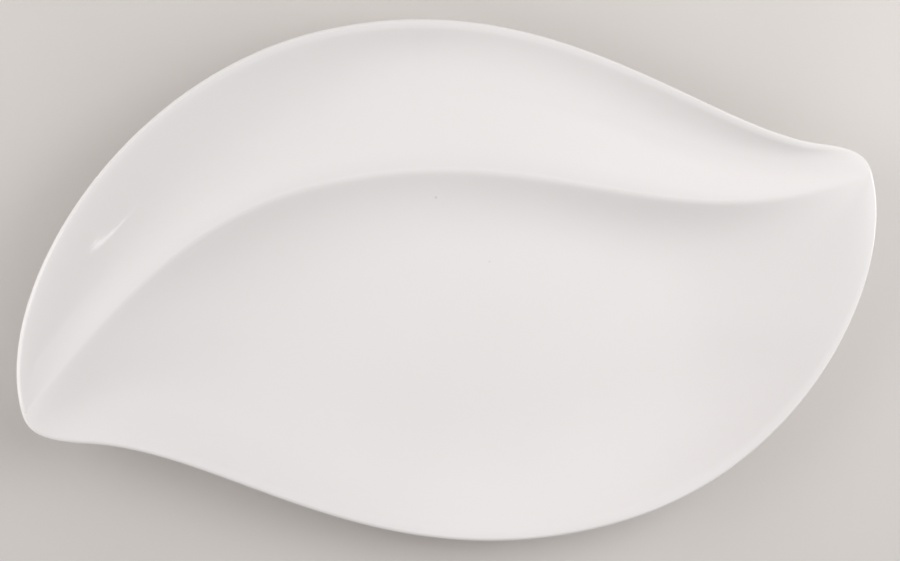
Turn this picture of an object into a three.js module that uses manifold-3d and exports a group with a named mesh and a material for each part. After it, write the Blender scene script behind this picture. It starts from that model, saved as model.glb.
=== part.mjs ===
// Divided serving dish: a leaf-shaped platter of white glazed porcelain with a wavy rim.
// A curved ridge runs from tip to tip and parts a crescent side trough from the main well.
// Millimetres and degrees. X runs from tip to tip, +Y is the trough side, Z is up from the table.
import * as THREE from "three";
import { mergeVertices } from "three/addons/utils/BufferGeometryUtils.js";
import Module from "manifold-3d";

// Outline of one flank, from the right tip over +Y to the left tip. The other flank is its half turn.
const LENGTH = 500; // tip to tip, over the lip
const BELLY_REACH = 152.8; // widest point of the flank, out from the long axis
const BELLY_OFFSET = 48.6; // widest point of the flank, left of mid-length
const NOSE_SETBACK = 27.1; // end of the right tip's corner, back from the tip
const NOSE_REACH = 24.6; // end of that corner, out from the long axis
const NOSE_HEADING = 160; // direction in which the flank leaves the corner
const TIP_PULL = 11.2; // lengths of the curve handles, in order along the flank
const NOSE_PULL_IN = 21.2;
const NOSE_PULL_OUT = 74.1;
const BELLY_PULL_RIGHT = 143.2;
const BELLY_PULL_LEFT = 111.2;
const HEEL_PULL = 63.3;

// Lip and wall
const RIM_HEIGHT = 40; // top of the lip above the table, on average
const RIM_WAVE = 9; // rise and dip of the lip about that height
const RIM_PEAK_TURN = 146; // direction from the middle to a rise
const WALL = 5; // thickness of the shell
const LIP = 4.5; // thickness of the rounded lip
const LIP_TAPER = 40; // width of the strip in which the wall thins to the lip

// Main well
const FLOOR_LENGTH = 220; // long axis of the oval flat floor
const FLOOR_BREADTH = 80; // short axis of the floor
const FLOOR_X = 9; // centre of the floor
const FLOOR_Y = -30;
const FLOOR_TURN = -15; // direction of the floor's long axis
const WELL_SWEEP = 2.8; // power of the climb from the floor to the lip and the ridge
const CORNER_TIGHTNESS = 3; // how tightly the lip's slope and the ridge's slope round into each other
const FADE_LEFT = 8; // power by which the well and the trough flatten out at the left tip
const FADE_RIGHT = 5; // power by which they flatten out at the right tip

// Side trough
const VALLEY_HEIGHT = 19.5; // lowest line of the trough above the table at mid-length
const VALLEY_SWEEP_LEFT = 2.2; // power of that line's climb to the left tip
const VALLEY_SWEEP_RIGHT = 3.8; // power of its climb to the right tip
const VALLEY_SHARE = 0.55; // place of that line on the way from the ridge to the lip
const FLANK_LEFT = 11; // width of the ridge's flank towards the left tip
const FLANK_LIMIT = 0.6; // largest share of the trough that this flank takes
const TROUGH_SWEEP = 2.9; // power of the climb from that line to the lip
const LIP_FLARE = 0.95; // how far the lip lies flat again at the left tip

// Ridge
const RIDGE_HEIGHT = 26; // top of the crest above the table at mid-length
const RIDGE_SWEEP = 1.7; // power of the crest's climb to the lip at both tips
const RIDGE_TOP_REACH = 75; // furthest point of the crest, out from the long axis
const RIDGE_TOP_OFFSET = 77.6; // furthest point of the crest, left of mid-length
const RIDGE_LEFT_HEADING = 37.6; // direction of the crest as it leaves the left tip
const RIDGE_RIGHT_HEADING = 5; // direction of the crest as it meets the right tip
const RIDGE_LEFT_PULL = 80.7; // lengths of the curve handles, in order along the crest
const RIDGE_TOP_PULL_LEFT = 57.7;
const RIDGE_TOP_PULL_RIGHT = 143.3;
const RIDGE_RIGHT_PULL = 136.4;
const ROLL_LEFT = 0; // how far the crest rolls over into the trough: at the left tip,
const ROLL_MIDDLE = 1.7; // at mid-length
const ROLL_RIGHT = -0.2; // and at the right tip
const CREST_ROUND = 2.4; // half-width of the rounding along the crest
const GROOVE_ROUND = 9; // half-width of the rounding along the hollow under the crest

// Foot ring
const FOOT_HEIGHT = 4; // clear height under the well's floor
const FOOT_LENGTH = 300; // long axis of the ring's centre line
const FOOT_BREADTH = 205; // short axis of the ring's centre line
const FOOT_TURN = -13; // direction of the long axis
const FOOT_TREAD = 4.5; // width of the bare face that stands on the table
const FOOT_ROOT = 8; // width of the ring where it meets the shell
const SEAT_GAP = 0.3; // clearance between the ring and the shell

// Fineness of the facets
const LINE_POINTS = 360;
const STATIONS = 80;
const WELL_ROWS = 16;
const TROUGH_ROWS = 13;
const LIP_STEPS = 6;
const FOOT_STEPS = 120;
const ROW_CROWDING = 1.6; // power that draws the rows towards the crest
const SLOPE_STEP = 0.02; // step for measuring slopes
const ON_LINE = 1e-6; // smallest distance to a line

const { clamp, degToRad, lerp, smoothstep } = THREE.MathUtils;
const wasm = await Module();
wasm.setup();

// Point at a distance from a start, in a direction given in degrees
function along(start, heading, distance) {
  const turn = degToRad(heading);
  return new THREE.Vector2(Math.cos(turn), Math.sin(turn)).multiplyScalar(distance).add(start);
}

// Cubic curve between two points, with the headings and lengths of its two handles
function cubic(start, startHeading, startPull, end, endHeading, endPull) {
  const startHandle = along(start, startHeading, startPull);
  const endHandle = along(end, endHeading, -endPull);
  return new THREE.CubicBezierCurve(start, startHandle, endHandle, end);
}

// Flank of the outline as three cubic curves: corner of the tip, hollow and belly, heel
function flankCurve() {
  const rightTip = new THREE.Vector2(LENGTH / 2, 0);
  const nose = new THREE.Vector2(LENGTH / 2 - NOSE_SETBACK, NOSE_REACH);
  const belly = new THREE.Vector2(-BELLY_OFFSET, BELLY_REACH);
  const leftTip = new THREE.Vector2(-LENGTH / 2, 0);
  const path = new THREE.CurvePath();
  path.add(cubic(rightTip, 90, TIP_PULL, nose, NOSE_HEADING, NOSE_PULL_IN));
  path.add(cubic(nose, NOSE_HEADING, NOSE_PULL_OUT, belly, 180, BELLY_PULL_RIGHT));
  path.add(cubic(belly, 180, BELLY_PULL_LEFT, leftTip, 270, HEEL_PULL));
  return path;
}

// Crest of the ridge as two cubic curves between the ends of the lip's centre line
function crestCurve() {
  const left = new THREE.Vector2(-tipX, 0);
  const top = new THREE.Vector2(-RIDGE_TOP_OFFSET, RIDGE_TOP_REACH);
  const right = new THREE.Vector2(tipX, 0);
  const path = new THREE.CurvePath();
  path.add(cubic(left, RIDGE_LEFT_HEADING, RIDGE_LEFT_PULL, top, 0, RIDGE_TOP_PULL_LEFT));
  path.add(cubic(top, 0, RIDGE_TOP_PULL_RIGHT, right, RIDGE_RIGHT_HEADING, RIDGE_RIGHT_PULL));
  return path;
}

// Points along a curve, each with the unit normal on the curve's right-hand side
function sampled(curve) {
  return Array.from({ length: LINE_POINTS + 1 }, (_, i) => {
    const point = curve.getPoint(i / LINE_POINTS);
    const tangent = curve.getTangent(i / LINE_POINTS);
    return { x: point.x, y: point.y, outX: tangent.y, outY: -tangent.x };
  });
}

// Centre lines of the lip, half a lip inside the outline, both in the order of rising x
const tipX = (LENGTH - LIP) / 2;
const upperEdge = sampled(flankCurve())
  .slice(1, -1)
  .map((p) => ({ ...p, x: p.x - (p.outX * LIP) / 2, y: p.y - (p.outY * LIP) / 2 }))
  .reverse();
upperEdge.unshift({ x: -tipX, y: 0, outX: -1, outY: 0 });
upperEdge.push({ x: tipX, y: 0, outX: 1, outY: 0 });
const lowerEdge = upperEdge
  .map((p) => ({ x: -p.x, y: -p.y, outX: -p.outX, outY: -p.outY }))
  .reverse();
const crest = sampled(crestCurve());

// Nearest place on a line: its distance, its position in the list, and the side that the point is on
function nearest(line, x, y) {
  let best = { distance: Infinity };
  for (let i = 1; i < line.length; i++) {
    const dx = line[i].x - line[i - 1].x;
    const dy = line[i].y - line[i - 1].y;
    const fromX = x - line[i - 1].x;
    const fromY = y - line[i - 1].y;
    const share = clamp((fromX * dx + fromY * dy) / (dx * dx + dy * dy), 0, 1);
    const distance = Math.hypot(fromX - share * dx, fromY - share * dy);
    if (distance < best.distance) best = { distance, place: i - 1 + share, side: dx * fromY - dy * fromX };
  }
  return best;
}

// Place on a line at a given x, with its outward normal
function crossing(line, x) {
  const after = Math.max(1, line.findIndex((p, i) => p.x >= x || i === line.length - 1));
  const a = line[after - 1];
  const b = line[after];
  const share = clamp((x - a.x) / (b.x - a.x), 0, 1);
  const mixed = (key) => lerp(a[key], b[key], share);
  return { y: mixed("y"), out: new THREE.Vector3(mixed("outX"), mixed("outY"), 0).normalize() };
}

// Height of the lip's centre line in the direction of a point, as a wave with two rises
function rimHeight(x, y) {
  const turn = Math.atan2(y, x) - degToRad(RIM_PEAK_TURN);
  return RIM_HEIGHT - LIP / 2 + RIM_WAVE * Math.cos(2 * turn);
}

// Height at a given x of a line that climbs from mid-length to the tips
function climbing(middleHeight, sweep, x) {
  return lerp(middleHeight - WALL / 2, rimHeight(x, 0), Math.abs(x / tipX) ** sweep);
}

// Share by which the relief has flattened out on the way to a tip
function tipFade(x) {
  return Math.abs(x / tipX) ** (x < 0 ? FADE_LEFT : FADE_RIGHT);
}

const crestHeights = crest.map(({ x }) => climbing(RIDGE_HEIGHT, RIDGE_SWEEP, x));

// Distance of a point outside the well's oval floor, 0 on the floor
function floorDistance(x, y) {
  const [halfLength, halfBreadth] = [FLOOR_LENGTH / 2, FLOOR_BREADTH / 2];
  const from = new THREE.Vector2(x - FLOOR_X, y - FLOOR_Y);
  from.rotateAround(new THREE.Vector2(), -degToRad(FLOOR_TURN));
  const reach = Math.hypot(from.x / halfLength, from.y / halfBreadth);
  const slope = Math.hypot(from.x / halfLength ** 2, from.y / halfBreadth ** 2);
  return reach > 1 ? (reach * (reach - 1)) / slope : 0;
}

// Height of the well: an oval flat floor, and a wall that climbs to the lip and to the crest
function wellHeight(x, y, toCrest, toLip, crestHeight) {
  const floor = FOOT_HEIGHT + WALL / 2;
  const toTop = (toCrest ** -CORNER_TIGHTNESS + toLip ** -CORNER_TIGHTNESS) ** (-1 / CORNER_TIGHTNESS);
  const toFloor = floorDistance(x, y);
  const nearLip = toCrest ** 2 / (toCrest ** 2 + toLip ** 2);
  const top = lerp(crestHeight, rimHeight(x, y), nearLip);
  const well = lerp(floor, top, (toFloor / (toFloor + toTop)) ** WELL_SWEEP);
  return lerp(well, top, tipFade(x));
}

// Height of the trough: the ridge's flank down to the lowest line, then the wall up to the lip
function troughHeight(x, y, toCrest, toLip, crestHeight) {
  const share = toCrest / (toCrest + toLip);
  const left = Math.max(0, -x / tipX);
  const lowest = lerp(VALLEY_SHARE, Math.min(FLANK_LEFT / (toCrest + toLip), FLANK_LIMIT), left);
  const valley = climbing(VALLEY_HEIGHT, x < 0 ? VALLEY_SWEEP_LEFT : VALLEY_SWEEP_RIGHT, x);
  const roll = lerp(ROLL_MIDDLE, x < 0 ? ROLL_LEFT : ROLL_RIGHT, (x / tipX) ** 2);
  const flank = clamp(1 - share / lowest, 0, 1);
  const flankRise = lerp(flank ** 2, smoothstep(flank, 0, 1), roll);
  const wall = clamp((share - lowest) / (1 - lowest), 0, 1);
  const wallRise = lerp(wall ** TROUGH_SWEEP, smoothstep(wall, 0, 1), LIP_FLARE * left);
  const rim = rimHeight(x, y);
  const trough = valley + (crestHeight - valley) * flankRise + (rim - valley) * wallRise;
  return lerp(trough, lerp(crestHeight, rim, share), tipFade(x));
}

// Height of the shell's middle surface, with the ridge rounded by a half-width along its crest
function shellHeight(x, y, halfWidth) {
  const { distance, place, side } = nearest(crest, x, y);
  const toCrest = Math.hypot(distance, halfWidth) - halfWidth + ON_LINE;
  const toLip = nearest(side > 0 ? upperEdge : lowerEdge, x, y).distance + ON_LINE;
  const before = Math.min(Math.floor(place), LINE_POINTS - 1);
  const crestHeight = lerp(crestHeights[before], crestHeights[before + 1], place - before);
  return (side > 0 ? troughHeight : wellHeight)(x, y, toCrest, toLip, crestHeight);
}

// Thickness of the shell, from the wall's to the lip's
function thickness(x, y) {
  const toLip = Math.min(nearest(upperEdge, x, y).distance, nearest(lowerEdge, x, y).distance);
  return lerp(WALL, LIP, Math.max(0, 1 - toLip / LIP_TAPER) ** 2);
}

// Point of the shell's upper (+1) or lower (-1) face, half the thickness away from the middle surface
function facePoint(x, y, face) {
  const halfWidth = face > 0 ? CREST_ROUND : GROOVE_ROUND;
  const height = (dx, dy) => shellHeight(x + dx, y + dy, halfWidth);
  const slopeX = (height(SLOPE_STEP, 0) - height(-SLOPE_STEP, 0)) / (2 * SLOPE_STEP);
  const slopeY = (height(0, SLOPE_STEP) - height(0, -SLOPE_STEP)) / (2 * SLOPE_STEP);
  const normal = new THREE.Vector3(-slopeX, -slopeY, 1).normalize();
  return normal.multiplyScalar((face * thickness(x, y)) / 2).add(new THREE.Vector3(x, y, height(0, 0)));
}

// Half circle of the lip from one face to the other, without its two ends
function lipArc(from, to, out) {
  const centre = from.clone().add(to).divideScalar(2);
  const across = from.clone().sub(centre);
  const bulge = out.clone().projectOnPlane(across).setLength(LIP / 2);
  return Array.from({ length: LIP_STEPS - 1 }, (_, i) => {
    const turn = (Math.PI * (i + 1)) / LIP_STEPS;
    return centre.clone().addScaledVector(across, Math.cos(turn)).addScaledVector(bulge, Math.sin(turn));
  });
}

// Closed section of the shell at one place along its length
function shellSection(x) {
  const lower = crossing(lowerEdge, x);
  const upper = crossing(upperEdge, x);
  const ridge = crossing(crest, x);
  const rows = [];
  for (let i = WELL_ROWS; i > 0; i--) {
    rows.push(lerp(ridge.y, lower.y, (i / WELL_ROWS) ** ROW_CROWDING));
  }
  for (let i = 0; i <= TROUGH_ROWS; i++) {
    rows.push(lerp(ridge.y, upper.y, (i / TROUGH_ROWS) ** ROW_CROWDING));
  }
  const above = rows.map((y) => facePoint(x, y, 1));
  const below = rows.map((y) => facePoint(x, y, -1)).reverse();
  const upperLip = lipArc(above.at(-1), below[0], upper.out);
  const lowerLip = lipArc(below.at(-1), above[0], lower.out);
  return [...above, ...upperLip, ...below, ...lowerLip];
}

// Closed surface through a row of closed sections, as a solid for cutting.
// Sections that shrink to a line close the ends, and a ring joins its last section to its first.
function loft(sections, isRing) {
  const count = sections[0].length;
  const positions = sections.flat().flatMap((p) => [p.x, p.y, p.z]);
  const index = [];
  for (let i = 0; i < sections.length - (isRing ? 0 : 1); i++) {
    const next = (i + 1) % sections.length;
    for (let j = 0; j < count; j++) {
      const a = i * count + j;
      const b = i * count + ((j + 1) % count);
      const c = next * count + ((j + 1) % count);
      const d = next * count + j;
      index.push(a, d, c, a, c, b);
    }
  }
  const geometry = new THREE.BufferGeometry();
  geometry.setAttribute("position", new THREE.Float32BufferAttribute(positions, 3));
  geometry.setIndex(index);
  const merged = mergeVertices(geometry, 1e-3);
  const corners = merged.index.array;
  const triVerts = [];
  for (let i = 0; i < corners.length; i += 3) {
    const [a, b, c] = corners.slice(i, i + 3);
    if (a !== b && b !== c && c !== a) triVerts.push(a, b, c);
  }
  const vertProperties = merged.attributes.position.array;
  const mesh = new wasm.Mesh({ numProp: 3, vertProperties, triVerts: new Uint32Array(triVerts) });
  return new wasm.Manifold(mesh);
}

// Shell: sections from tip to tip, closer together towards the tips
function shellSolid() {
  const sections = Array.from({ length: STATIONS + 1 }, (_, i) =>
    shellSection(-tipX * Math.cos((Math.PI * i) / STATIONS)),
  );
  return loft(sections, false);
}

// Foot ring: an oval swept wedge that reaches up into the shell, cut off by the shell's underside.
// Slivers that the cut leaves on the upper side of the shell are dropped.
function footSolid(shell) {
  const oval = new THREE.EllipseCurve(0, 0, FOOT_LENGTH / 2, FOOT_BREADTH / 2);
  const turn = degToRad(FOOT_TURN);
  const sections = Array.from({ length: FOOT_STEPS }, (_, i) => {
    const share = i / FOOT_STEPS;
    const origin = new THREE.Vector2();
    const point = oval.getPoint(share).rotateAround(origin, turn);
    const tangent = oval.getTangent(share).rotateAround(origin, turn);
    const corner = (offset, isTop) => {
      const x = point.x + tangent.y * offset;
      const y = point.y - tangent.x * offset;
      return new THREE.Vector3(x, y, isTop ? shellHeight(x, y, GROOVE_ROUND) : 0);
    };
    const [tread, root] = [FOOT_TREAD / 2, FOOT_ROOT / 2];
    return [corner(tread, false), corner(root, true), corner(-root, true), corner(-tread, false)];
  });
  const cut = loft(sections, true).subtract(shell.translate([0, 0, -SEAT_GAP]));
  return cut.decompose().reduce((largest, body) => (body.volume() > largest.volume() ? body : largest));
}

// Named mesh from a solid
function meshOf(solid, name, look) {
  const { vertProperties, triVerts } = solid.getMesh();
  const geometry = new THREE.BufferGeometry();
  geometry.setAttribute("position", new THREE.BufferAttribute(vertProperties, 3));
  geometry.setIndex(new THREE.BufferAttribute(triVerts, 1));
  geometry.computeVertexNormals();
  const mesh = new THREE.Mesh(geometry, new THREE.MeshStandardMaterial(look));
  mesh.name = name;
  return mesh;
}

const shell = shellSolid();
const dish = new THREE.Group();
dish.add(meshOf(shell, "dish_body", { color: 0xe9e5e3, roughness: 0.15, metalness: 0 }));
dish.add(meshOf(footSolid(shell), "foot_ring", { color: 0xe6ddcf, roughness: 0.75, metalness: 0 }));
export default dish;
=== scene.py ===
import bmesh
import bpy
import numpy as np
from mathutils import Matrix, Vector


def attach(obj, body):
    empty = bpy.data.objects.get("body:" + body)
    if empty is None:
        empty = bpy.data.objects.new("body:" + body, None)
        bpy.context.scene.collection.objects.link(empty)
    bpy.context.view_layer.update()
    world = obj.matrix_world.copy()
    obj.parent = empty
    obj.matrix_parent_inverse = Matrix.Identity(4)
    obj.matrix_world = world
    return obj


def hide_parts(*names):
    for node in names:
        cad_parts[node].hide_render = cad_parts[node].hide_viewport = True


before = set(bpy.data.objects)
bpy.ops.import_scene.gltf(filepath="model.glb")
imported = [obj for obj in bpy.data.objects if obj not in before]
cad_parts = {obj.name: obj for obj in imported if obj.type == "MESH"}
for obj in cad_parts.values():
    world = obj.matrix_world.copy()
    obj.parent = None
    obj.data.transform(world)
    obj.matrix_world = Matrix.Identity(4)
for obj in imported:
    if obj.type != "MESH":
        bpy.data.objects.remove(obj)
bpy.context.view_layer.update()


# Dish body
# One slip-cast shell of white porcelain, about 5 mm thick, under a clear gloss glaze. Its outline is
# a leaf of two flanks that are half turns of each other, its lip rises and dips twice on the way round,
# and a ridge pushed up from below parts the crescent trough from the main well.
MM = 0.001  # the sizes are in millimetres, and the frame is in metres
LENGTH = 500.0  # tip to tip, over the lip
BELLY = (-48.6, 152.8)  # widest point of the trough's flank
NOSE_SETBACK, NOSE_REACH, NOSE_HEADING = 27.1, 24.6, 160.0  # end of the right tip's corner
TIP_PULL, NOSE_PULL_IN, NOSE_PULL_OUT = 11.2, 21.2, 74.1  # handles of the flank's curves
BELLY_PULL_RIGHT, BELLY_PULL_LEFT, HEEL_PULL = 143.2, 111.2, 63.3
RIM_HEIGHT, RIM_WAVE, RIM_PEAK_TURN = 40.0, 9.0, 146.0  # mean top of the lip, its wave, where it peaks
WALL, LIP, LIP_TAPER = 5.0, 4.5, 40.0  # thicknesses, and the way over which one thins to the other
LIP_TUCK = 0.2  # how far the lip keeps inside the overall size
FOOT_HEIGHT = 4.0  # clear height under the well's floor
FLOOR_LENGTH, FLOOR_BREADTH, FLOOR_CENTRE, FLOOR_TURN = 220.0, 80.0, (9.0, -30.0), -15.0  # the flat oval
WELL_SWEEP, CORNER_TIGHTNESS = 2.8, 3.0  # power of the well's climb, and how sharp its corners are
FADE_LEFT, FADE_RIGHT = 8.0, 5.0  # powers by which the relief flattens out at the tips
VALLEY_HEIGHT, VALLEY_SWEEP_LEFT, VALLEY_SWEEP_RIGHT = 19.5, 2.2, 3.8  # the trough's lowest line
VALLEY_SHARE, FLANK_LEFT, FLANK_LIMIT = 0.55, 11.0, 0.6  # where it runs between the crest and the lip
TROUGH_SWEEP, LIP_FLARE = 2.9, 0.95  # power of the trough's wall, and how flat it ends at the left
RIDGE_HEIGHT, RIDGE_SWEEP, RIDGE_TOP = 26.0, 1.7, (-77.6, 75.0)  # mid-length height, climb, outermost point
RIDGE_LEFT_HEADING, RIDGE_RIGHT_HEADING = 37.6, 5.0  # headings and handles of the crest's curves
RIDGE_LEFT_PULL, RIDGE_TOP_PULL_LEFT, RIDGE_TOP_PULL_RIGHT, RIDGE_RIGHT_PULL = 80.7, 57.7, 143.3, 136.4
ROLL_LEFT, ROLL_MIDDLE, ROLL_RIGHT = 0.0, 1.7, -0.2  # how far the ridge's flank rolls over at its top
CREST_ROUND, GROOVE_ROUND = 1.6, 9.0  # half-widths of the rounding on and under the crest
STATIONS, LIP_STEPS = 320, 12  # loops from tip to tip, and steps round the lip
WELL_ROWS, TROUGH_ROWS, ROW_CROWDING = 84, 62, 1.5  # rows on each side, and their crowding to the crest
SLOPE_STEP, ON_LINE = 0.02, 1e-6  # step for measuring slopes, and the least distance to a line
WELD, SLIVER = 0.001, 0.0001  # points this close become one, and faces this thin are taken out


def handle(point, heading, pull):
    """Point at a distance from another, along a heading in degrees."""
    turn = np.radians(heading)
    return np.add(point, (pull * np.cos(turn), pull * np.sin(turn)))


def cubic(start, start_heading, start_pull, end, end_heading, end_pull, points=180):
    """Bezier curve: the two ends and their two handles, weighted by the cubic Bernstein polynomials."""
    t = np.linspace(0, 1, points)[:, None]
    leaving = handle(start, start_heading, start_pull)
    arriving = handle(end, end_heading, -end_pull)
    first_half = (1 - t)**3 * start + 3 * t * (1 - t)**2 * leaving
    return first_half + 3 * t**2 * (1 - t) * arriving + t**3 * end


def lip_lines():
    """Centre line of the lip on the trough's flank and its outward normals, in the order of rising x.
    It is the flank's three curves, moved inwards by half a lip along their normals."""
    right, left = np.array((LENGTH / 2, 0.0)), np.array((-LENGTH / 2, 0.0))
    nose = np.array((LENGTH / 2 - NOSE_SETBACK, NOSE_REACH))
    corner = cubic(right, 90, TIP_PULL, nose, NOSE_HEADING, NOSE_PULL_IN)
    hollow = cubic(nose, NOSE_HEADING, NOSE_PULL_OUT, np.array(BELLY), 180, BELLY_PULL_RIGHT)
    heel = cubic(np.array(BELLY), 180, BELLY_PULL_LEFT, left, 270, HEEL_PULL)
    flank = np.vstack([corner[:-1], hollow[:-1], heel])
    along = np.gradient(flank, axis=0)
    along[0], along[-1] = (0, 1), (0, -1)
    along /= np.linalg.norm(along, axis=1)[:, None]
    out = np.c_[along[:, 1], -along[:, 0]]
    return (flank - out * LIP / 2)[::-1], out[::-1]


TIP = (LENGTH - LIP) / 2
trough_lip, trough_out = lip_lines()
well_lip, well_out = -trough_lip[::-1], -trough_out[::-1]
crest_left = cubic(np.array((-TIP, 0.0)), RIDGE_LEFT_HEADING, RIDGE_LEFT_PULL,
                   np.array(RIDGE_TOP), 0, RIDGE_TOP_PULL_LEFT)
crest_right = cubic(np.array(RIDGE_TOP), 0, RIDGE_TOP_PULL_RIGHT,
                    np.array((TIP, 0.0)), RIDGE_RIGHT_HEADING, RIDGE_RIGHT_PULL)
crest = np.vstack([crest_left[:-1], crest_right])


def nearest(line, x, y, chunk=40000):
    """Distance of each point to a line, its place along the line's samples, and the side that it is on.
    The closest sample is found first, then the closest point of the two segments that meet there."""
    at = np.c_[np.ravel(x), np.ravel(y)]
    length = (line * line).sum(1)
    starts = range(0, len(at), chunk)
    closest = np.concatenate([(length - 2 * at[s:s + chunk] @ line.T).argmin(1) for s in starts])
    found = None
    for first in (np.maximum(closest - 1, 0), np.minimum(closest, len(line) - 2)):
        step, offset = line[first + 1] - line[first], at - line[first]
        share = np.clip((offset * step).sum(1) / (step * step).sum(1), 0, 1)
        distance = np.linalg.norm(offset - share[:, None] * step, axis=1)
        side = step[:, 0] * offset[:, 1] - step[:, 1] * offset[:, 0]
        now = np.stack([distance, first + share, side])
        found = now if found is None else np.where(now[0] < found[0], now, found)
    return found.reshape((3,) + np.shape(x))


def mix(a, b, share):
    """Straight mix of two values."""
    return a + (b - a) * share


def smooth(t):
    """Curve from 0 to 1 that starts and ends level."""
    return t * t * (3 - 2 * t)


def rim_height(x, y):
    """Height of the lip's centre line: its mean plus a cosine wave with two rises round the dish."""
    turn = np.arctan2(y, x) - np.radians(RIM_PEAK_TURN)
    return RIM_HEIGHT - LIP / 2 - LIP_TUCK + RIM_WAVE * np.cos(2 * turn)


def climbing(middle_height, sweep, x):
    """Height of a line that climbs from mid-length to the lip at the tips, by a power of x."""
    return mix(middle_height - WALL / 2, rim_height(x, 0 * x), np.abs(x / TIP)**sweep)


def tip_fade(x):
    """Share by which the relief has flattened out on the way to a tip, by a power of x."""
    return np.abs(x / TIP)**np.where(x < 0, FADE_LEFT, FADE_RIGHT)


crest_heights = climbing(RIDGE_HEIGHT, RIDGE_SWEEP, crest[:, 0])


def floor_distance(x, y):
    """Distance outside the well's oval floor, by the oval's own level and slope, and 0 on the floor."""
    turn = np.radians(FLOOR_TURN)
    dx, dy = x - FLOOR_CENTRE[0], y - FLOOR_CENTRE[1]
    u, v = dx * np.cos(turn) + dy * np.sin(turn), dy * np.cos(turn) - dx * np.sin(turn)
    a, b = FLOOR_LENGTH / 2, FLOOR_BREADTH / 2
    reach, slope = np.hypot(u / a, v / b), np.hypot(u / a**2, v / b**2)
    return np.where(reach > 1, reach * (reach - 1) / np.maximum(slope, ON_LINE), 0)


def well_height(x, y, to_crest, to_lip, crest_height):
    """Flat oval floor, then a climb by a power of the way to the lip or the crest, whichever is nearer.
    At the tips the climb flattens out by a power of x."""
    floor = FOOT_HEIGHT + WALL / 2
    q = CORNER_TIGHTNESS
    to_top = (to_crest**-q + to_lip**-q)**(-1 / q)
    to_floor = floor_distance(x, y)
    near_lip = to_crest**2 / (to_crest**2 + to_lip**2)
    top = mix(crest_height, rim_height(x, y), near_lip)
    well = mix(floor, top, (to_floor / (to_floor + to_top))**WELL_SWEEP)
    return mix(well, top, tip_fade(x))


def trough_height(x, y, to_crest, to_lip, crest_height):
    """The ridge's flank down to the lowest line, then a wall up to the lip that lies flat again at the left.
    At the tips it flattens out by a power of x."""
    share, left = to_crest / (to_crest + to_lip), np.clip(-x / TIP, 0, 1)
    lowest = mix(VALLEY_SHARE, np.minimum(FLANK_LEFT / (to_crest + to_lip), FLANK_LIMIT), left)
    valley = climbing(VALLEY_HEIGHT, np.where(x < 0, VALLEY_SWEEP_LEFT, VALLEY_SWEEP_RIGHT), x)
    roll = mix(ROLL_MIDDLE, np.where(x < 0, ROLL_LEFT, ROLL_RIGHT), (x / TIP)**2)
    flank = np.clip(1 - share / lowest, 0, 1)
    wall = np.clip((share - lowest) / (1 - lowest), 0, 1)
    flank_rise = mix(flank**2, smooth(flank), roll)
    wall_rise = mix(wall**TROUGH_SWEEP, smooth(wall), LIP_FLARE * left)
    rim = rim_height(x, y)
    trough = valley + (crest_height - valley) * flank_rise + (rim - valley) * wall_rise
    return mix(trough, mix(crest_height, rim, share), tip_fade(x))


def shell_height(x, y, rounding):
    """Height of the shell's middle surface: the trough on one side of the crest, the well on the other.
    The crest is rounded by a half-width."""
    distance, place, side = nearest(crest, x, y)
    to_crest = np.hypot(distance, rounding) - rounding + ON_LINE
    crest_height = np.interp(place, np.arange(len(crest)), crest_heights)
    well = well_height(x, y, to_crest, nearest(well_lip, x, y)[0] + ON_LINE, crest_height)
    trough = trough_height(x, y, to_crest, nearest(trough_lip, x, y)[0] + ON_LINE, crest_height)
    return np.where(side > 0, trough, well)


def shell_slope(x, y, rounding):
    """Slopes of the middle surface along x and y, by central differences."""
    dx = shell_height(x + SLOPE_STEP, y, rounding) - shell_height(x - SLOPE_STEP, y, rounding)
    dy = shell_height(x, y + SLOPE_STEP, rounding) - shell_height(x, y - SLOPE_STEP, rounding)
    return dx / (2 * SLOPE_STEP), dy / (2 * SLOPE_STEP)


def shell_thickness(x, y):
    """Thickness of the shell, thinning from the wall's to the lip's by the square of the way."""
    to_lip = np.minimum(nearest(trough_lip, x, y)[0], nearest(well_lip, x, y)[0])
    return mix(WALL, LIP, np.maximum(0, 1 - to_lip / LIP_TAPER)**2)


def shell_face(x, y, face):
    """Upper (+1) or lower (-1) face: half the thickness away from the middle surface, along its normal."""
    rounding = CREST_ROUND if face > 0 else GROOVE_ROUND
    slope_x, slope_y = shell_slope(x, y, rounding)
    normal = np.stack([-slope_x, -slope_y, np.ones_like(x)], -1)
    normal *= (face * shell_thickness(x, y) / 2 / np.linalg.norm(normal, axis=-1))[..., None]
    return np.stack([x, y, shell_height(x, y, rounding)], -1) + normal


def rows_across(x, well_rows, trough_rows):
    """Grid of places across the shell at each x, from the well's lip over the crest to the trough's lip.
    A power draws the rows towards the crest."""
    lines = (well_lip, crest, trough_lip)
    well_y, crest_y, trough_y = (np.interp(x, line[:, 0], line[:, 1])[:, None] for line in lines)
    to_well = (np.arange(well_rows, 0, -1) / well_rows)**ROW_CROWDING
    to_trough = (np.arange(trough_rows + 1) / trough_rows)**ROW_CROWDING
    return np.hstack([mix(crest_y, well_y, to_well), mix(crest_y, trough_y, to_trough)])


def lip_arc(start, end, x, line, out):
    """Half circle from one face's edge to the other's at each x, bulging outwards, without its ends."""
    outward = np.stack([np.interp(x, line[:, 0], out[:, 0]), np.interp(x, line[:, 0], out[:, 1]), 0 * x], -1)
    centre, across = (start + end) / 2, (start - end) / 2
    unit = across / np.linalg.norm(across, axis=1)[:, None]
    bulge = outward - (outward * unit).sum(1)[:, None] * unit
    bulge *= (LIP / 2 - LIP_TUCK) / np.linalg.norm(bulge, axis=1)[:, None]
    turn = (np.pi * np.arange(1, LIP_STEPS) / LIP_STEPS)[None, :, None]
    return centre[:, None] + across[:, None] * np.cos(turn) + bulge[:, None] * np.sin(turn)


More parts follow.
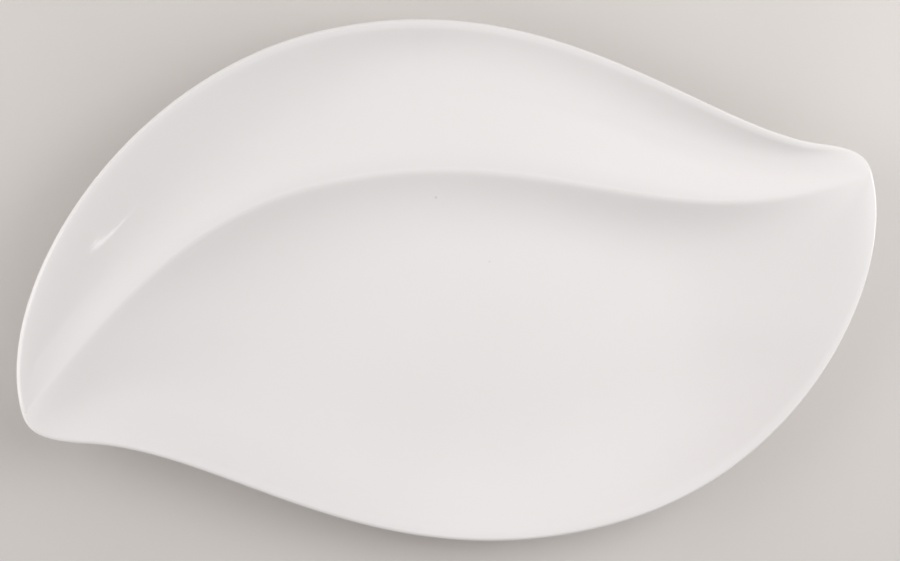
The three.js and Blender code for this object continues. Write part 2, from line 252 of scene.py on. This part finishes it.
def shell_loops():
    """Closed loops round the shell at stations that crowd towards the tips: upper face, trough lip,
    lower face with half the rows, well lip."""
    x = -TIP * np.cos(np.pi * np.arange(STATIONS + 1) / STATIONS)
    above_y = rows_across(x, WELL_ROWS, TROUGH_ROWS)
    below_y = rows_across(x, WELL_ROWS // 2, TROUGH_ROWS // 2)[:, ::-1]
    above = shell_face(np.broadcast_to(x[:, None], above_y.shape), above_y, 1)
    below = shell_face(np.broadcast_to(x[:, None], below_y.shape), below_y, -1)
    trough_arc = lip_arc(above[:, -1], below[:, 0], x, trough_lip, trough_out)
    well_arc = lip_arc(below[:, -1], above[:, 0], x, well_lip, well_out)
    return np.hstack([above, trough_arc, below, well_arc])


def loft(name, loops, ring):
    """Mesh through a grid of closed loops. A ring joins its last loop to its first, and loops that shrink
    to a line close the ends."""
    count, around = loops.shape[:2]
    i, j = np.meshgrid(np.arange(count if ring else count - 1), np.arange(around), indexing="ij")
    here, there, after = i * around, (i + 1) % count * around, (j + 1) % around
    quads = np.stack([here + j, there + j, there + after, here + after], -1).reshape(-1, 4)
    mesh = bpy.data.meshes.new(name)
    mesh.from_pydata(loops.reshape(-1, 3) * MM, [], quads.tolist())
    work = bmesh.new()
    work.from_mesh(mesh)
    bmesh.ops.remove_doubles(work, verts=work.verts, dist=WELD * MM)
    bmesh.ops.dissolve_degenerate(work, edges=work.edges, dist=SLIVER * MM)
    work.to_mesh(mesh)
    work.free()
    mesh.polygons.foreach_set("use_smooth", np.ones(len(mesh.polygons), bool))
    piece = bpy.data.objects.new(name, mesh)
    bpy.context.scene.collection.objects.link(piece)
    return piece


class Value:
    """A socket in a node tree. Arithmetic on it adds Math nodes."""

    def __init__(self, tree, socket=None):
        self.tree, self.socket = tree, socket

    def fill(self, made, sockets):
        """Sets or links the sockets of a node, which are named, or numbered as _0."""
        for name, value in sockets.items():
            socket = made.inputs[int(name[1:]) if name[0] == "_" else name.replace("_", " ")]
            if isinstance(value, Value):
                self.tree.links.new(value.socket, socket)
            else:
                socket.default_value = value

    def node(self, kind, settings=None, output=0, **sockets):
        """Adds a node, with its settings first and then its sockets, and gives one of its outputs."""
        made = self.tree.nodes.new(kind)
        for name, setting in (settings or {}).items():
            setattr(made, name, setting)
        self.fill(made, sockets)
        return Value(self.tree, made.outputs[output])

    def math(self, operation, a, b):
        """Result of a Math node on two numbers or values."""
        return self.node("ShaderNodeMath", {"operation": operation}, _0=a, _1=b)

    def __add__(self, other):
        return self.math("ADD", self, other)

    def __mul__(self, other):
        return self.math("MULTIPLY", self, other)

    def __sub__(self, other):
        return self.math("SUBTRACT", self, other)

    def __rsub__(self, other):
        return self.math("SUBTRACT", other, self)

    __radd__, __rmul__ = __add__, __mul__

    def step(self, low, high):
        """Smooth step: 0 below low, 1 above high."""
        settings = {"interpolation_type": "SMOOTHSTEP"}
        return self.node("ShaderNodeMapRange", settings, Value=self, From_Min=low, From_Max=high)

    def blend(self, first, second):
        """Colour mixed from first, where this is 0, to second, where it is 1."""
        return self.node("ShaderNodeMix", {"data_type": "RGBA"}, output=2, _0=self, _6=first, _7=second)

    def bump(self):
        """Normal of a surface that has this relief, in metres."""
        return self.node("ShaderNodeBump", Strength=1.0, Distance=1.0, Height=self)


def noise(where, size, detail=2.0):
    """Soft noise from 0 to 1 with blobs of a size in millimetres."""
    return where.node("ShaderNodeTexNoise", Vector=where, Scale=1 / (size * MM), Detail=detail)


def new_finish(name):
    """New material, its shader, and the piece's own coordinates for the patterns on it."""
    material = bpy.data.materials.new(name)
    material.use_nodes = True
    where = Value(material.node_tree).node("ShaderNodeTexCoord", output="Object")
    return material, material.node_tree.nodes["Principled BSDF"], where


PORCELAIN_WHITE = (0.805, 0.776, 0.771, 1)
PORCELAIN_CREAM = (0.795, 0.765, 0.757, 1)
CLOUD_SIZE, CLOUD_EDGES = 120.0, (0.3, 0.7)  # faint clouds of cream in the white
SPECK_BROWN, SPECK_STRENGTH = (0.30, 0.25, 0.21, 1), 0.25
SPECKS = ((-6.4, 52.1, 1.1), (16.6, 7.5, 0.7))  # places of two iron specks in the plan, and their radii
SPECK_CORE = 0.3  # share of a speck's radius that has its full tone
GLAZE_IOR = 1.5
GLAZE_ROUGHNESS, GLAZE_HAZE, GLAZE_HAZE_SIZE = 0.05, 0.04, 30.0  # the clearest gloss, and patches of haze
WAVE_SIZE, WAVE_RISE = 45.0, 0.06  # slow waves of the casting
PEEL_SIZE, PEEL_RISE = 6.0, 0.004  # orange peel of the glaze


def glaze_height(where):
    """Relief of a fired glaze in metres: slow waves of the casting plus a fine orange peel."""
    return noise(where, WAVE_SIZE) * (WAVE_RISE * MM) + noise(where, PEEL_SIZE) * (PEEL_RISE * MM)


def iron_specks(where):
    """Sum of soft round spots on the upper face, each 1 in its core and 0 beyond its radius."""
    spots = 0
    for x, y, radius in SPECKS:
        at = tuple(shell_face(np.array([x]), np.array([y]), 1)[0] * MM)
        away = where.node("ShaderNodeVectorMath", {"operation": "DISTANCE"}, "Value", _0=where, _1=at)
        spots = spots + (1 - away.step(SPECK_CORE * radius * MM, radius * MM))
    return spots


def glazed_porcelain():
    """Clear gloss glaze on white porcelain, with faint clouds of tone, two iron specks and orange peel."""
    material, shader, where = new_finish("glazed_porcelain")
    tone = noise(where, CLOUD_SIZE).step(*CLOUD_EDGES).blend(PORCELAIN_WHITE, PORCELAIN_CREAM)
    colour = (iron_specks(where) * SPECK_STRENGTH).blend(tone, SPECK_BROWN)
    roughness = GLAZE_ROUGHNESS + GLAZE_HAZE * noise(where, GLAZE_HAZE_SIZE)
    normal = glaze_height(where).bump()
    where.fill(shader, {"Base Color": colour, "Roughness": roughness, "Normal": normal, "IOR": GLAZE_IOR})
    return material


dish_body = loft("porcelain_dish", shell_loops(), ring=False)
dish_body.data.materials.append(glazed_porcelain())
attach(dish_body, "root")
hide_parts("dish_body")


# Foot ring
# An oval ring under the dish, cast in one with the shell. Its sides are glazed down to a bare tread,
# which is wiped clean before firing and ground flat so that the dish stands level.
FOOT_LENGTH, FOOT_BREADTH, FOOT_TURN = 300.0, 205.0, -13.0
FOOT_TREAD, FOOT_ROOT = 4.5, 8.0  # breadths of the ring's wall at the table and at the shell
FOOT_STEPS = 240
FOOT_EDGE, FOOT_EDGE_BEND = 0.8, 0.3  # rounding of the tread's edges, and the share of it cut at the bend
FOOT_SIDE_SHARES = (0.4, 0.7)  # shares of the height at which the sides have a point
FOOT_FILLET, FOOT_FILLET_SHARE = 5.0, 0.85  # reach of the fillet under the shell, and where it starts
FOOT_SINK = 0.6  # how far the ring's top reaches into the shell


def underside(x, y):
    """Height of the shell's lower face: the middle surface less half the wall, taken upright."""
    slope_x, slope_y = shell_slope(x, y, GROOVE_ROUND)
    thick = shell_thickness(x, y) * np.sqrt(1 + slope_x**2 + slope_y**2)
    return shell_height(x, y, GROOVE_ROUND) - thick / 2


def foot_loops():
    """Profile of the ring carried round an oval. Each point of the profile is an offset across the ring
    and a share of the height from the table to the shell, with a fillet at the top."""
    turn, tilt = np.linspace(0, 2 * np.pi, FOOT_STEPS, endpoint=False), np.radians(FOOT_TURN)
    a, b = FOOT_LENGTH / 2, FOOT_BREADTH / 2
    spin = np.array(((np.cos(tilt), np.sin(tilt)), (-np.sin(tilt), np.cos(tilt))))
    centre = np.c_[a * np.cos(turn), b * np.sin(turn)] @ spin
    out = np.c_[b * np.cos(turn), a * np.sin(turn)] @ spin
    out /= np.linalg.norm(out, axis=1)[:, None]
    tread, root = FOOT_TREAD / 2, FOOT_ROOT / 2
    bend = FOOT_EDGE_BEND * FOOT_EDGE
    side = [mix(tread, root, share) for share in (0, *FOOT_SIDE_SHARES, 1)]
    offsets = [tread - FOOT_EDGE, tread - bend, *side, root + FOOT_FILLET]
    shares = [0, 0, 0, *FOOT_SIDE_SHARES, FOOT_FILLET_SHARE, 1]
    lifts = [0, bend, FOOT_EDGE, 0, 0, 0, 0]
    offset = np.array(offsets + [-o for o in reversed(offsets)])
    share = np.array(shares + shares[::-1])
    lift = np.array(lifts + lifts[::-1])
    x = centre[:, :1] + out[:, :1] * offset
    y = centre[:, 1:] + out[:, 1:] * offset
    z = lift + share * (underside(x, y) + FOOT_SINK - lift)
    return np.stack([x, y, z], -1)


TREAD_PALE, TREAD_SANDY = (0.72, 0.67, 0.59, 1), (0.62, 0.56, 0.48, 1)
TREAD_ROUGHNESS, SIDE_ROUGHNESS = 0.7, 0.12
GRIT_SIZE, GRIT_DETAIL, GRIT_RISE, GRIT_EDGES = 1.2, 4.0, 0.08, (0.35, 0.75)  # grain of the bare tread
GLAZE_END, GLAZE_WANDER, GLAZE_WANDER_SIZE = 1.2, 0.8, 20.0  # least height of the glaze's edge, its waver
GLAZE_FADE_BELOW, GLAZE_FADE_ABOVE, GLAZE_COAT = 0.1, 0.2, 0.1  # its soft edge, and its thickness there


def bare_tread():
    """Glazed sides that end in an uneven line just above a matt, faintly sandy tread."""
    material, shader, where = new_finish("bare_porcelain")
    height = where.node("ShaderNodeSeparateXYZ", output="Z", Vector=where)
    edge = GLAZE_END * MM + GLAZE_WANDER * MM * noise(where, GLAZE_WANDER_SIZE)
    glazed = (height - edge).step(-GLAZE_FADE_BELOW * MM, GLAZE_FADE_ABOVE * MM)
    grit = noise(where, GRIT_SIZE, GRIT_DETAIL)
    bare = grit.step(*GRIT_EDGES).blend(TREAD_PALE, TREAD_SANDY)
    colour = glazed.blend(bare, PORCELAIN_WHITE)
    roughness = TREAD_ROUGHNESS - (TREAD_ROUGHNESS - SIDE_ROUGHNESS) * glazed
    relief = glazed * (GLAZE_COAT * MM) + (1 - glazed) * grit * (GRIT_RISE * MM)
    normal = relief.bump()
    where.fill(shader, {"Base Color": colour, "Roughness": roughness, "Normal": normal, "IOR": GLAZE_IOR})
    return material


foot_ring = loft("porcelain_foot_ring", foot_loops(), ring=True)
foot_ring.data.materials.append(bare_tread())
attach(foot_ring, "root")
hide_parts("foot_ring")


# Table
# A plain pale table top, one flat board with a matt paint that is slightly uneven in tone. The dish stands
# on it by its foot ring and is not fixed.
TABLE_COLOUR = (0.612, 0.579, 0.553, 1)
TABLE_COLOUR_LIGHT = (0.648, 0.614, 0.588, 1)
TABLE_ROUGHNESS, TABLE_CLOUD_SIZE = 0.6, 350.0
TABLE_SIZE = 1800.0
table_corners = np.array(((-1, -1, 0), (1, -1, 0), (1, 1, 0), (-1, 1, 0))) * (TABLE_SIZE / 2 * MM)
table_mesh = bpy.data.meshes.new("table")
table_mesh.from_pydata(table_corners.tolist(), [], [(0, 1, 2, 3)])
table = bpy.data.objects.new("table", table_mesh)
bpy.context.scene.collection.objects.link(table)
table_paint, table_shader, table_place = new_finish("table_paint")
table_cloud = noise(table_place, TABLE_CLOUD_SIZE).step(*CLOUD_EDGES)
table_tone = table_cloud.blend(TABLE_COLOUR, TABLE_COLOUR_LIGHT)
table_place.fill(table_shader, {"Base Color": table_tone, "Roughness": TABLE_ROUGHNESS})
table_mesh.materials.append(table_paint)


# Light and camera
# Soft studio light: diffusing panels round the table inside a pale tent that is lit unevenly, with a small
# bright opening at the front right. The gloss mirrors three of them and otherwise a plain background.
# The camera stands above the left of the dish, at the photograph's angle.
PHOTO_TURN = -15.0  # turn from the dish's long axis to the photograph's right
CAMERA_TILT, CAMERA_TILT_TOWARDS = 15.904, 175.589  # lean off the vertical and its direction
CAMERA_PLACE = (-214.5, 75.67, 774.44)
LENS = 56.1  # focal length
PANEL_DISTANCE = 1200.0
PANELS = (  # direction in the photograph's plan, height angle, side, watts, mirrored in the glaze
    ("panel_right", 20, 36, 900, 7.5, False),
    ("panel_right_low", 8, 20, 300, 1.7, True),
    ("panel_left", 180, 30, 900, 5.6, True),
    ("panel_left_back", 165, 25, 900, 3.6, False),
    ("panel_back", 65, 14, 400, 1.2, False),
    ("panel_above", 40, 65, 900, 3.8, False),
    ("tent_opening", 329.2, 26.4, 30, 0.018, True),
)
TENT_LOBES = (  # direction in the photograph's plan, height angle, half-angle, strength
    (135, 50, 60, 0.20),
    (180, 15, 60, 0.28),
    (270, 15, 60, 0.72),
    (315, 15, 60, 0.15),
)
BACKGROUND = (0.62, 0.58, 0.55, 1)
PLAIN_RAYS = ("Is Camera Ray", "Is Glossy Ray", "Is Transmission Ray")  # these see the background


def photo_direction(direction, height):
    """Unit vector towards a direction in the photograph's plan and a height angle, both in degrees."""
    turn, rise = np.radians(direction + PHOTO_TURN), np.radians(height)
    return Vector((np.cos(rise) * np.cos(turn), np.cos(rise) * np.sin(turn), np.sin(rise)))


for name, direction, height, side, watts, mirrored in PANELS:
    lamp = bpy.data.lights.new(name, "AREA")
    lamp.shape, lamp.size, lamp.energy = "SQUARE", side * MM, watts
    panel = bpy.data.objects.new(name, lamp)
    away = photo_direction(direction, height)
    panel.location = away * (PANEL_DISTANCE * MM)
    panel.rotation_euler = (-away).to_track_quat("-Z", "Y").to_euler()
    panel.visible_glossy = mirrored
    bpy.context.scene.collection.objects.link(panel)

world = bpy.data.worlds.new("tent")
world.use_nodes = True
sky = Value(world.node_tree).node("ShaderNodeTexCoord", output="Generated")
glow = 0
for direction, height, half_angle, strength in TENT_LOBES:
    axis = photo_direction(direction, height)
    facing = sky.node("ShaderNodeVectorMath", {"operation": "DOT_PRODUCT"}, "Value", _0=sky, _1=axis)
    glow = glow + facing.step(np.cos(np.radians(half_angle)), 1.0) * strength
seen = sum(sky.node("ShaderNodeLightPath", output=ray) for ray in PLAIN_RAYS)
sky.fill(world.node_tree.nodes["Background"], {"Color": seen.blend(glow, BACKGROUND)})
bpy.context.scene.world = world

lean = np.radians(CAMERA_TILT_TOWARDS)
tip_axis = Vector((-np.sin(lean), np.cos(lean), 0))
photo_turn = Matrix.Rotation(np.radians(PHOTO_TURN), 4, "Z")
camera_data = bpy.data.cameras.new("photo_camera")
camera_data.lens = LENS
camera = bpy.data.objects.new("photo_camera", camera_data)
camera.matrix_world = (Matrix.Translation(Vector(CAMERA_PLACE) * MM) @ photo_turn
                       @ Matrix.Rotation(np.radians(CAMERA_TILT), 4, tip_axis))
bpy.context.scene.collection.objects.link(camera)
bpy.context.scene.camera = camera
bpy.context.scene.view_settings.view_transform = "Standard"
